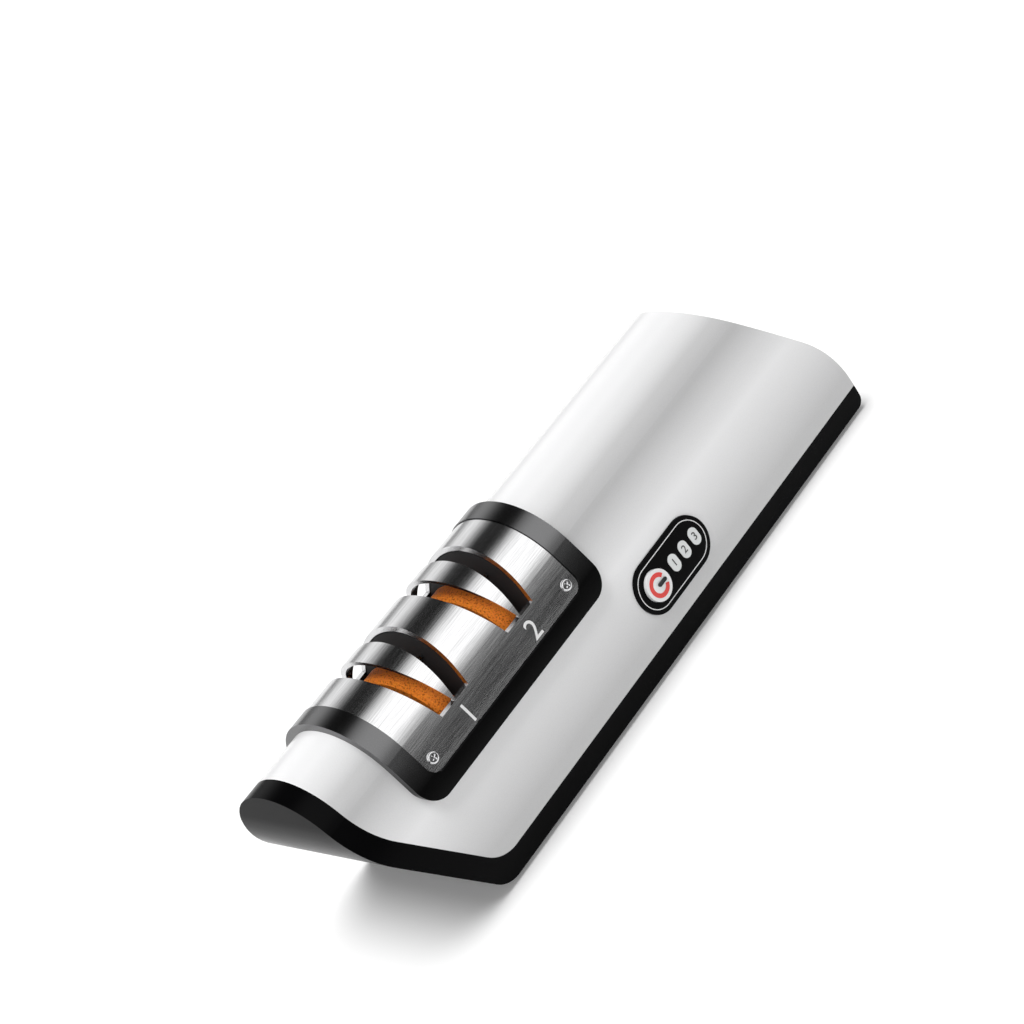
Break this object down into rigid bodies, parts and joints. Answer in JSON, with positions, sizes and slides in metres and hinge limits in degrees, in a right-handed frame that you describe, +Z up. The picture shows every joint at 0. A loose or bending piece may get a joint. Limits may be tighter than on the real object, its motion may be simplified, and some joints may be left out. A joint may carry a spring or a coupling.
{
  "type": "electric knife sharpener",
  "caption": "Arched electric knife sharpener with a slotted steel head over orange abrasive wheels and a push button on its side.",
  "frame": {"origin": "centre of the bounding box at the bottom of the feet", "axes": "+X along the bar from the sharpening head to the raked plain end, +Y from the button wall to the back wall, +Z up"},
  "size_m": [0.1944, 0.0525, 0.0553],
  "materials": {
    "pearl_white": "gloss",
    "black_gloss": "gloss",
    "black_matte": "matte",
    "grey_plastic": "matte",
    "brushed_cover": "brushed",
    "bright_screw": "polished",
    "zinc_plate": "satin",
    "shaft_steel": "satin",
    "spring_wire": "polished",
    "brass_part": "satin",
    "copper_rotor": "satin",
    "ferrite": "matte",
    "abrasive_orange": "rough",
    "cell_wrap": "gloss",
    "board_green": "satin",
    "lens_clear": "gloss",
    "button_white": "gloss",
    "foot_rubber": "matte"
  },
  "bodies": {
    "housing": {"base_tray": "black_gloss", "upper_shell": "pearl_white", "head_frame": "black_gloss", "slot_cover": "brushed_cover", "cover_screws": "bright_screw", "blade_guide": "black_matte", "guide_springs": "spring_wire", "near_bearing": "bright_screw", "far_bearing": "bright_screw", "motor_can": "zinc_plate", "motor_magnet": "ferrite", "motor_end_bell": "black_matte", "motor_terminals": "brass_part", "chassis": "grey_plastic", "battery_cells": "cell_wrap", "cell_cradle": "grey_plastic", "charging_socket": "bright_screw", "charging_board": "board_green", "button_panel": "black_gloss", "indicator_lenses": "lens_clear", "control_board": "board_green", "tact_switch": "zinc_plate", "indicator_lamps": "lens_clear", "rubber_feet": "foot_rubber", "base_screws": "zinc_plate"},
    "rotor": {"drive_shaft": "shaft_steel", "coarse_wheel": "abrasive_orange", "coarse_hub": "black_matte", "fine_wheel": "abrasive_orange", "fine_hub": "black_matte", "shaft_spacer": "black_matte", "shaft_coupling": "brass_part", "motor_armature": "copper_rotor"},
    "button": {"power_button": "button_white", "switch_plunger": "black_matte"}
  },
  "joints": [
    {"name": "wheel_spin", "type": "hinge", "parent": "housing", "child": "rotor", "pos_m": [-0.03, 0, 0.0307], "axis": [1, 0, 0], "continuous": true},
    {"name": "button_press", "type": "slide", "parent": "housing", "child": "button", "axis": [0, 0.9828, -0.1846], "range_m": [0, 0.0005], "stiffness_N_per_m": 600}
  ]
}
